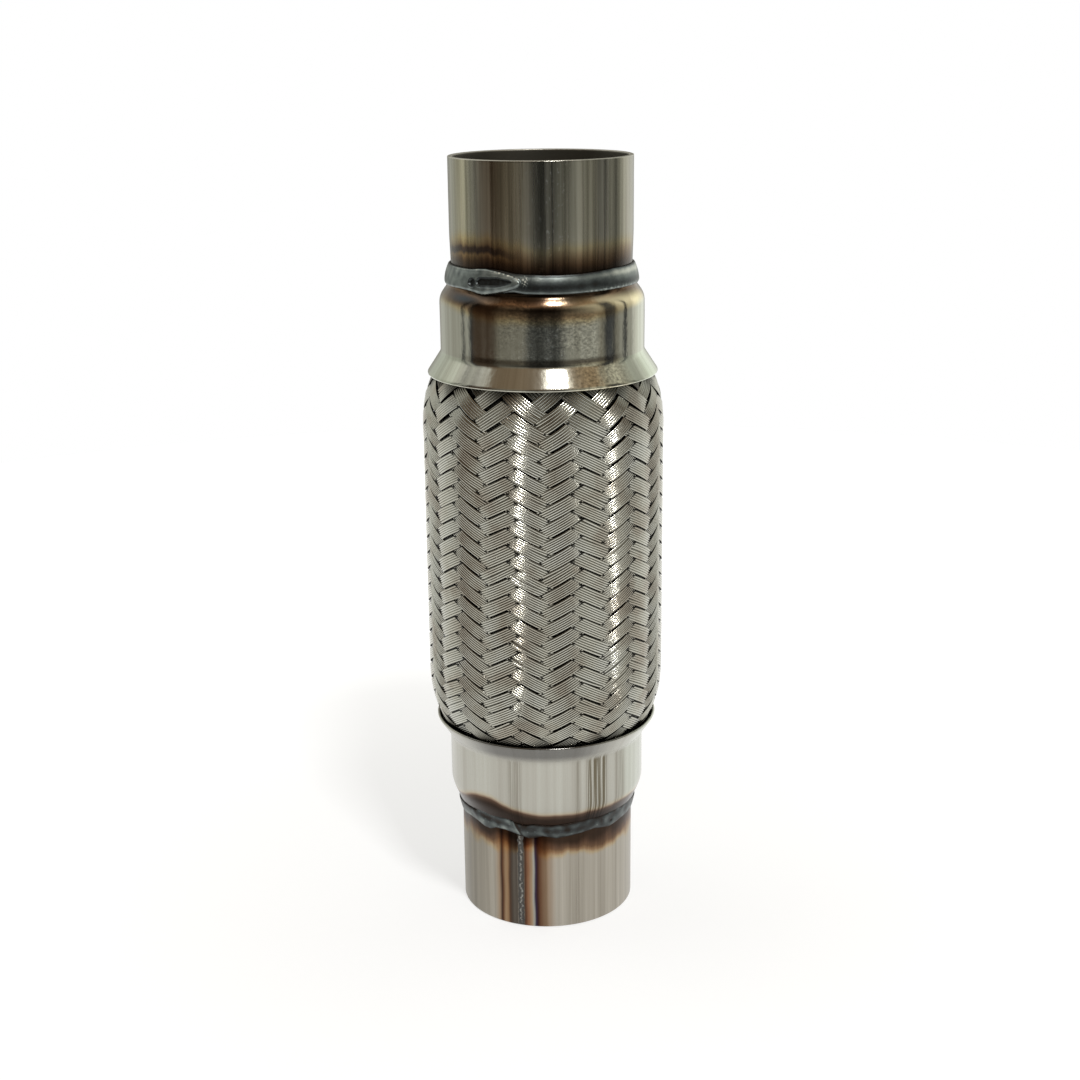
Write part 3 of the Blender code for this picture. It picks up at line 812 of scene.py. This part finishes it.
def upper_bead_detail(azimuth, height, climb, crown):
    """A later run of weld lies over the first one on the left, ends in a point, and has a long crater. Its
    tone holds a painted highlight along the upper part, painted shade below it, a painted contact shadow at
    the top edge and painted light on the right.
    """
    turn = np.radians(azimuth)
    rise = crown * (0.00068 + 0.00003 * mottle(turn, height, 0.006, 5))
    # Painted highlight along the bead's upper part, painted shade below it, and a painted contact shadow at
    # its top edge.
    tone = 0.37 + 0.04 * mottle(turn, height, 0.0030, 6) + 0.22 * bell(climb, 0.78, 0.14)
    tone = tone - 0.14 * bell(climb, 0.38, 0.15) - 0.30 * bell(climb, 1.0, 0.05)
    ragged = smooth(mottle(turn, height, 0.0011, 7), -0.4, 0.9) * smooth(azimuth, 12, 40)
    tone = tone + bell(climb, 0.10, 0.09) * (0.10 + 0.22 * ragged)
    # Painted light: the run is lighter towards the right.
    tone = tone + 0.24 * smooth(azimuth, 30, 52) * (1 - smooth(azimuth, 80, 110)) * smooth(climb, 0.2, 0.5)

    past_tip = np.clip((LEAF_TIP - azimuth) / 24.0, 0.0, 1.0)
    half = 0.0034 * past_tip**0.42
    from_middle = (height - 0.17995 - 0.00008 * (azimuth + 36) / 10) / np.maximum(half, 1e-6)
    inside = np.where(azimuth < LEAF_TIP, 1 - from_middle**2, -1.0)
    fade = smooth(azimuth, -88, -60)
    leaf = crown**0.6 * 0.00045 + 0.00085 * np.clip(inside, 0.0, 1.0) ** 0.4
    on_leaf = smooth(inside, 0.0, 0.06) * fade
    rise = rise + (np.maximum(leaf, rise) - rise) * fade * (inside > 0)
    tone = tone + on_leaf * (0.555 + 0.06 * mottle(turn, height, 0.0022, 17) - tone)
    bright = smooth(azimuth, -38, -20) * smooth(height, 0.1794, 0.1806)
    rim = bell(inside, 0.20, 0.14) * fade
    tone = tone + rim * (0.06 + bright * (0.16 + 0.20 * mottle(turn, height, 0.0008, 9)))
    tone = tone - 0.40 * bell(inside, 0.0, 0.07) * fade

    pit = 0.00105 - np.hypot((azimuth + 43.0) * 0.00040, height - 0.17970)
    run = np.clip((azimuth + 40.0) / 2.0, 0.0, 1.0) ** 0.5 * np.clip((-17.0 - azimuth) / 9.0, 0.0, 1.0) ** 0.6
    trench = 0.00112 * run - np.abs(height - 0.18012 - 0.00002 * (azimuth + 28))
    crater = np.maximum(smooth(pit, 0.0, 0.00022), smooth(trench, 0.0, 0.00022) * (run > 0))
    lip = np.maximum(smooth(pit, -0.00035, 0.0), smooth(trench, -0.00035, 0.0) * (run > 0)) - crater
    rise = rise - 0.00055 * crater + 0.00010 * lip
    spatter = bell(azimuth, -10, 1.6) * bell(height, 0.1804, 0.0011)
    tone = tone + 1.2 * spatter * smooth(mottle(turn, height, 0.0006, 10), 0.2, 0.9)
    tone = tone * (1 - crater) + crater * (0.24 + 0.03 * mottle(turn, height, 0.0012, 8)) - 0.26 * lip
    return rise, tone


def lower_bead_detail(azimuth, height, climb, crown):
    """An uneven fillet. Its left run is thicker and ends in a slanting step with a bright edge. Both edges of
    the bead are darkened as a painted contact shadow.
    """
    turn = np.radians(azimuth)
    step_line = -18.5 - (height - 0.0283) / 0.0046 * 4.5
    left_run = smooth(step_line - azimuth, 0.0, 0.9) * smooth(azimuth, -88, -66)
    front = 1 - smooth(np.abs(azimuth), 46, 82)
    thick = 0.00012 + front * (0.00022 + 0.00036 * left_run + 0.00007 * mottle(turn, height, 0.0045, 11))
    hollow = bell(azimuth, -38, 6.5) * bell(height, 0.0312, 0.0013)
    pock = bell(azimuth, 46, 1.4) * bell(height, 0.0293, 0.0005)
    rise = crown * thick - 0.00030 * hollow * front - 0.00020 * pock
    tone = 0.205 + 0.11 * mottle(turn, height, 0.0034, 13) + 0.09 * smooth(azimuth, 20, 60)
    tone = tone + 0.13 * smooth(0.55 - climb, 0.0, 0.35)
    tone = tone + 0.12 * left_run + 0.20 * smooth(mottle(turn, height, 0.0008, 14), 1.2, 1.9)
    tone = tone + 0.30 * bell(azimuth, step_line, 0.6) * (azimuth < 0)
    tone = tone - 0.22 * bell(azimuth, step_line + 1.5, 0.9) * (azimuth < 0)
    tone = tone - 0.26 * hollow - 0.30 * pock
    # Painted contact shadows: both edges of the bead are darker.
    tone = tone - 0.34 * bell(climb, 0.0, 0.07) - 0.20 * bell(climb, 1.0, 0.10)
    return rise, tone


def make_seam(material):
    """Low flat bead of the lower stub's lengthwise seam, with a silvery ridge that winds along it."""
    height = np.arange(0.0003, 0.0276, 0.00011)[:, None]
    across = np.linspace(-1, 1, 13)[None, :]
    waver = mottle(0 * height, height, 0.0015, 21)
    azimuth = np.radians(SEAM_MIDDLE + 0.25 * waver + SEAM_HALF * across)
    winding = 0.30 * mottle(0 * height, height, 0.0018, 22) + 0.14 * mottle(0 * height, height, 0.0007, 23)
    fading = smooth(mottle(0 * height, height, 0.0012, 24), -1.3, 0.3)
    ridge = fading * bell(across, winding, 0.32)
    rise = (0.00005 + 0.00009 * ridge) * np.cos(across * pi / 2) ** 0.5
    top = on_pipe(azimuth, STUB_RADIUS + rise, height)
    base = on_pipe(azimuth[:, [-1, 0]], STUB_RADIUS - BEAD_ROOT, height)
    points = np.concatenate([top, base], axis=1)
    rows, columns, _ = points.shape
    ends = np.arange(columns)
    caps = [ends[::-1], ends + (rows - 1) * columns]
    mesh = make_mesh("lower_stub_seam", points.reshape(-1, 3), grid_faces(rows, columns, False), caps)
    tone = np.concatenate([0.43 + 0.28 * ridge - 0.05 * across**4, np.full((rows, 2), SIDE_TONE)], axis=1)
    store(mesh, "tone", tone)
    add_piece("lower_stub_seam", mesh, material, "weld_metal", "lower_stub_pipe")


def envelope(height):
    """Radius of the braid's tallest ribbons: tucked into the flare, then swelling to a barrel."""
    reach = np.minimum(height, PIPE_LENGTH - height)
    share = np.clip((reach - TUCK_START) / (LIP_END - TUCK_START), 0.0, 1.0)
    tucked = TUCK_RADIUS + (BRAID_LIP_RADIUS - TUCK_RADIUS) * share
    rest = np.clip(1 - (reach - LIP_END) / BULGE_LENGTH, 0.0, 1.0)
    swollen = BRAID_RADIUS - (BRAID_RADIUS - BRAID_LIP_RADIUS) * rest**BULGE_POWER
    return np.where(reach < LIP_END, tucked, swollen)


def weave_height(half_row):
    """Height of a line of the weave, counted in half rows. The upper rows are pulled longer."""
    height = WEAVE_START + half_row * HALF_ROW
    past = np.maximum(height - STRETCH_START, 0.0)
    return height + STRETCH * past**3


def ribbon_frame(rising, carrier, column):
    """Middle line of a ribbon, its unit normals and its unit sideways directions, at columns along it."""
    half_row = (column if rising else -column) + 2 * carrier
    height = weave_height(half_row)
    over = np.cos((column - 0.5) * pi / 2) * (1 if rising else -1)
    over = over * (1.25 - 0.25 * over**2)
    azimuth = (column + 0.5) * 2 * pi / COLUMNS - TOP_DRIFT * smooth(height, 0.136, 0.150)
    radius = envelope(height) - WIRE_BUMP - CRIMP + CRIMP * over
    line = on_pipe(azimuth, radius, height)
    along = np.gradient(line, axis=0)
    along /= np.linalg.norm(along, axis=1)[:, None]
    slope = (envelope(height + 0.0002) - envelope(height - 0.0002)) / 0.0004
    normal = on_pipe(azimuth, 1.0, -slope)
    normal -= np.sum(normal * along, axis=1)[:, None] * along
    normal /= np.linalg.norm(normal, axis=1)[:, None]
    return line, normal, np.cross(normal, along)


def ribbon_columns(rising, carrier):
    """Columns along a ribbon from its lower end to its upper end, both hidden under the lips."""
    first = HIDDEN_END
    last = PIPE_LENGTH - HIDDEN_END
    half_rows = np.arange(-8, 2 * CARRIERS + 8, 1 / STEPS_PER_COLUMN)
    height = weave_height(half_rows)
    half_rows = half_rows[(height > first) & (height < last)]
    return half_rows - 2 * carrier if rising else (2 * carrier - half_rows)[::-1]


def ribbon_points(rising, carrier, rng):
    """Points of one ribbon of parallel wires, with their painted shade, darker in grooves and under the lips,
    and their cover.
    """
    column = ribbon_columns(rising, carrier)
    line, normal, side = ribbon_frame(rising, carrier, column)
    width = RIBBON_WIDTH * rng.uniform(0.95, 1.04)
    phase = rng.uniform(0, 2 * pi, 3)
    sway = SWAY * (np.sin(column * 0.9 + phase[0]) + np.sin(column * 0.37 + phase[1]))
    breadth = 1 + WIDTH_WAVE * np.sin(column * 0.61 + phase[2])
    breadth = breadth + TOP_SPREAD * smooth(line[:, 2], 0.138, 0.153)
    places, rise = wire_tops()
    spread, opening = ribbon_splits(column, places, rng)
    back_places = np.tile([BACK_EDGE, -BACK_EDGE], (len(column), 1))
    across = np.concatenate([places + spread, back_places], axis=1)
    back = np.full((len(column), 2), -RIBBON_BACK)
    lift = np.concatenate([rise - SPLIT_DROP * opening, back], axis=1)
    offset = across * (width * breadth)[:, None] + sway[:, None]
    points = line[:, None, :] + side[:, None, :] * offset[..., None] + normal[:, None, :] * lift[..., None]
    reach = np.minimum(line[:, 2], PIPE_LENGTH - line[:, 2])
    # Painted shade: ribbons darken under the lips and in the grooves between wires.
    lip_shadow = 0.30 + 0.70 * smooth(reach, LIP_END, LIP_END + 0.0030)
    shade = lip_shadow[:, None] * (0.20 + 0.80 * smooth(lift / WIRE_BUMP, -0.1, 0.85))
    return points, shade, ribbon_cover(rising, line, column, offset, width * breadth)


def ribbon_cover(rising, line, column, offset, width):
    """How far points of a ribbon lie past the edge of a ribbon over them, below 0 in the open."""
    step = np.gradient(line, axis=0) * STEPS_PER_COLUMN
    length = np.linalg.norm(step, axis=1)
    double = 2 * np.arcsin(np.clip(np.abs(step[:, 2]) / length, 0.0, 1.0))
    over = column - 0.5 if rising else column + 1.5
    from_middle = (over + 2) % 4 - 2
    skewed = from_middle[:, None] + (1 if rising else -1) * offset * (1 / (np.tan(double) * length))[:, None]
    cover = (np.abs(skewed) - 1.5) * (length * np.sin(double))[:, None] + width[:, None] / 2
    # The painted contact shadow is kept narrower at a ribbon's lit end.
    lit_end = skewed < 0 if rising else skewed > 0
    return cover - LIT_END_GAIN * lit_end


def ribbon_splits(column, places, rng):
    """Sideways spread and groove opening where a ribbon's wires part for a short stretch."""
    spread = np.zeros((len(column), len(places)))
    opening = np.zeros_like(spread)
    for _ in range(SPLITS):
        groove = rng.integers(1, WIRES) * WIRE_STEPS
        middle = rng.uniform(column[0], column[-1])
        share = bell(column, middle, rng.uniform(0.6, 1.6))[:, None] * rng.uniform(0.3, 1.0)
        spread += SPLIT_OPENING * share * np.sign(np.arange(len(places)) - groove)
        opening += share * (np.abs(np.arange(len(places)) - groove) < 1)
    return spread, opening


def wire_tops():
    """Places across a ribbon, from -0.5 to 0.5, and heights of its round wires over their grooves."""
    angle = np.linspace(0, pi, WIRE_STEPS + 1)[:-1]
    across = [(wire + 0.5 - 0.5 * np.cos(angle)) / WIRES - 0.5 for wire in range(WIRES)]
    rise = [WIRE_BUMP * np.sin(angle) for _ in range(WIRES)]
    return np.append(np.concatenate(across), 0.5), np.append(np.concatenate(rise), 0.0)


def make_ribbons(name, rising, carriers, rng, material):
    """Several ribbons of one direction as one piece."""
    all_points, all_quads, all_shades, all_covers, caps = [], [], [], [], []
    start = 0
    for carrier in carriers:
        points, shade, cover = ribbon_points(rising, carrier, rng)
        all_shades.append(shade.ravel())
        all_covers.append(cover.ravel())
        rows, columns, _ = points.shape
        all_points.append(points.reshape(-1, 3))
        all_quads.append(grid_faces(rows, columns, False) + start)
        ends = np.arange(columns)
        caps.append(ends[::-1] + start)
        caps.append(ends + start + (rows - 1) * columns)
        start += rows * columns
    mesh = make_mesh(name, np.concatenate(all_points), np.concatenate(all_quads), caps)
    mark_wire_grooves(mesh, columns)
    for kind, values in (("shade", all_shades), ("cover", all_covers)):
        store(mesh, kind, np.concatenate(values))
    add_piece(name, mesh, material, "braid_wire", "outer_braid")


def mark_wire_grooves(mesh, columns):
    """Keeps the grooves between wires crisp, while each wire's own top is smooth."""
    ends = np.zeros(len(mesh.edges) * 2, np.int32)
    mesh.edges.foreach_get("vertices", ends)
    place = ends.reshape(-1, 2) % columns
    first = place[:, 0]
    groove = (first == place[:, 1]) & ((first % WIRE_STEPS == 0) | (first > WIRE_STEPS * WIRES))
    sharp = mesh.attributes.get("sharp_edge") or mesh.attributes.new("sharp_edge", "BOOLEAN", "EDGE")
    sharp.data.foreach_set("value", groove)


def make_cuff(name, height_of, material):
    """The braid's plain end, clamped between the collar and the bellows."""
    line = [(TUCK_RADIUS, CUFF_START), (TUCK_RADIUS, TUCK_START), (TUCK_RADIUS + 0.0008, HIDDEN_END)]
    mesh = turned_mesh(name, sheet_section(line, BRAID_CUFF_WALL), height_of, 144)
    add_piece(name, mesh, material, "braid_wire", "outer_braid")


def make_bellows(material):
    """Corrugated tube behind the braid."""
    start = LIP_END + BELLOWS_MARGIN
    pitch = (PIPE_LENGTH - 2 * start) / CONVOLUTIONS
    line = [(BELLOWS_CUFF, CUFF_START)]
    for index in range(CONVOLUTIONS):
        for share in np.linspace(0, 1, 9)[:-1]:
            height = start + (index + share) * pitch
            crest = float(envelope(height)) - CREST_DEPTH
            line.append((BELLOWS_CUFF + (crest - BELLOWS_CUFF) * (1 - cos(2 * pi * share)) / 2, height))
    line += [(BELLOWS_CUFF, start + CONVOLUTIONS * pitch), (BELLOWS_CUFF, PIPE_LENGTH - CUFF_START)]
    mesh = turned_mesh("bellows_sheet", sheet_section(line, BELLOWS_WALL), lower, 96)
    add_piece("bellows_sheet", mesh, material, "bellows_steel", "bellows")


def make_liner(material):
    """Woven liner tube."""
    line = [(LINER_RADIUS, height) for height in np.linspace(CUFF_START, PIPE_LENGTH - CUFF_START, 12)]
    mesh = turned_mesh("woven_liner", sheet_section(line, LINER_WALL), lower, 144)
    add_piece("woven_liner", mesh, material, "liner_wire", "inner_braid")


def make_ring(end, height_of, material):
    """Inner ring with rounded edges."""
    line = [(RING_RADIUS, reach) for reach in np.linspace(CUFF_START, CUFF_START + RING_LENGTH, 4)]
    mesh = turned_mesh(end + "_ring", sheet_section(line, RING_WALL), height_of, 144)
    add_piece(end + "_ring", mesh, material, "ring_steel", end + "_inner_ring")


def make_camera():
    """Camera of the photograph: its place, its pitch, yaw and roll, and its lens."""
    data = bpy.data.cameras.new("camera")
    data.lens = CAMERA_LENS
    data.sensor_width = 36.0
    camera = bpy.data.objects.new("camera", data)
    bpy.context.scene.collection.objects.link(camera)
    yaw = Matrix.Rotation(radians(CAMERA_YAW), 4, "Z")
    pitch = Matrix.Rotation(radians(CAMERA_PITCH), 4, "X")
    roll = Matrix.Rotation(radians(CAMERA_ROLL), 4, "Z")
    camera.matrix_world = Matrix.Translation(CAMERA_PLACE) @ yaw @ pitch @ roll
    bpy.context.scene.camera = camera


def seen_share(tree):
    """1 for rays of the camera, reflections and glass, 0 for others."""
    kinds = ("Camera", "Glossy", "Transmission")
    camera, glossy, glass = (add_node(tree, "LightPath", (), f"Is {kind} Ray") for kind in kinds)
    return camera.math("MAXIMUM", glossy).math("MAXIMUM", glass)


def make_world():
    """White world to the camera and to reflections, and a milder one as a light."""
    world = bpy.data.worlds.new("studio")
    bpy.context.scene.world = world
    world.use_nodes = True
    background = world.node_tree.nodes["Background"]
    put(background.inputs["Color"], (1.0, 1.0, 1.0))
    put(background.inputs["Strength"], seen_share(world.node_tree) * (1 - WORLD_LIGHT) + WORLD_LIGHT)


def make_floor():
    """White table that keeps the pipe's shadow and looks white to the camera and in the steel, with a painted
    shade round the pipe where its glow is weaker.
    """
    just_under = (0, 0, -0.0001)
    bpy.ops.mesh.primitive_circle_add(vertices=128, radius=TENT_RADIUS, fill_type="NGON", location=just_under)
    floor = bpy.context.object
    floor.name = "floor"
    paint = Paint("floor white")
    # Painted shade: the glow is weaker near the pipe, a soft grey halo round it.
    level = span(paint.radius, 0.04, 0.45) * (1 - FLOOR_GLOW) + FLOOR_GLOW
    glow = paint.node("Emission", {"Strength": seen_share(paint.tree) * level})
    diffuse = paint.node("BsdfDiffuse", [(FLOOR_GREY, FLOOR_GREY, FLOOR_GREY)])
    floor.data.materials.append(paint.show(paint.node("AddShader", (diffuse, glow))))


def make_tent():
    """Tent of pale and dark cards round the set, which the steel reflects and the camera doesn't see."""
    turn = np.linspace(0, 2 * pi, TENT_SIDES, endpoint=False)
    points = np.concatenate([on_pipe(turn, TENT_RADIUS, level) for level in (0.0, TENT_HEIGHT)])
    ceiling_face = np.arange(TENT_SIDES, 2 * TENT_SIDES)
    mesh = bpy.data.meshes.new("tent")
    mesh.from_pydata(points.tolist(), [], grid_faces(2, TENT_SIDES, False).tolist() + [ceiling_face.tolist()])
    tent = bpy.data.objects.new("tent", mesh)
    bpy.context.scene.collection.objects.link(tent)
    tent.visible_camera = False
    tent.visible_shadow = False
    paint = Paint("tent")
    wall, ceiling = (paint.round_ramp(paint.azimuth, bands) for bands in (WALL_BANDS, CEILING_BANDS))
    sides = span(abs(paint.azimuth), 92.0, 112.0) * 0.26
    colour = paint.mix(span(paint.z + sides, 0.50, 0.78), wall, ceiling)
    horizon = near(paint.z, HORIZON_HEIGHT, HORIZON_REACH) * 0.95 * near(paint.azimuth, 0.0, 85.0)
    colour = paint.mix(horizon, colour, (0.02, 0.018, 0.015))
    tent.data.materials.append(paint.show(paint.node("Emission", [colour])))


def make_lamp(name, azimuth, elevation, distance, size, watts):
    """Square lamp that looks at the middle of the pipe."""
    data = bpy.data.lights.new(name, "AREA")
    data.shape = "SQUARE"
    data.size = size
    data.energy = watts
    lamp = bpy.data.objects.new(name, data)
    bpy.context.scene.collection.objects.link(lamp)
    turn, tilt = radians(azimuth), radians(elevation)
    away = Vector((sin(turn) * cos(tilt), -cos(turn) * cos(tilt), sin(tilt)))
    lamp.location = Vector((0, 0, PIPE_LENGTH / 2)) + away * distance
    lamp.rotation_mode = "QUATERNION"
    lamp.rotation_quaternion = away.to_track_quat("Z", "Y")


def make_pipe():
    """Every piece of the pipe."""
    make_stub("upper_stub", upper, upper_stub_material(), UPPER_STUB_PINCH)
    make_stub("lower_stub", lower, lower_stub_material(), 0.0)
    make_collar("upper", upper, UPPER_NECK_END, UPPER_SHOULDER, upper_collar_material())
    make_collar("lower", lower, LOWER_NECK_END, LOWER_SHOULDER, lower_collar_material())
    weld = weld_material("weld metal", (0.118, 0.136, 0.133), (0.245, 0.275, 0.258))
    make_bead("upper", UPPER_BEAD_LOW, UPPER_BEAD_HIGH, -1.3, upper_bead_detail, weld)
    make_bead("lower", LOWER_BEAD_LOW, LOWER_BEAD_HIGH, 1.0, lower_bead_detail, weld)
    make_seam(weld_material("seam metal", (0.105, 0.098, 0.090), (0.25, 0.243, 0.225), 0.40))
    wire = wire_material()
    rng = np.random.default_rng(24)
    half = CARRIERS // 2
    for rising, direction in ((True, "rising"), (False, "falling")):
        for part, first in enumerate((0, half)):
            make_ribbons(f"{direction}_ribbons_{part + 1}", rising, range(first, first + half), rng, wire)
    make_cuff("upper_braid_cuff", upper, wire)
    make_cuff("lower_braid_cuff", lower, wire)
    make_bellows(bellows_material())
    make_liner(liner_material())
    ring = ring_material()
    make_ring("upper", upper, ring)
    make_ring("lower", lower, ring)


def main():
    """Sets the stage and builds the pipe."""
    bpy.context.scene.view_settings.view_transform = "Standard"
    make_camera()
    make_world()
    make_floor()
    make_tent()
    make_lamp("key_lamp", azimuth=19, elevation=58, distance=0.70, size=0.09, watts=2.6)
    make_pipe()


main()
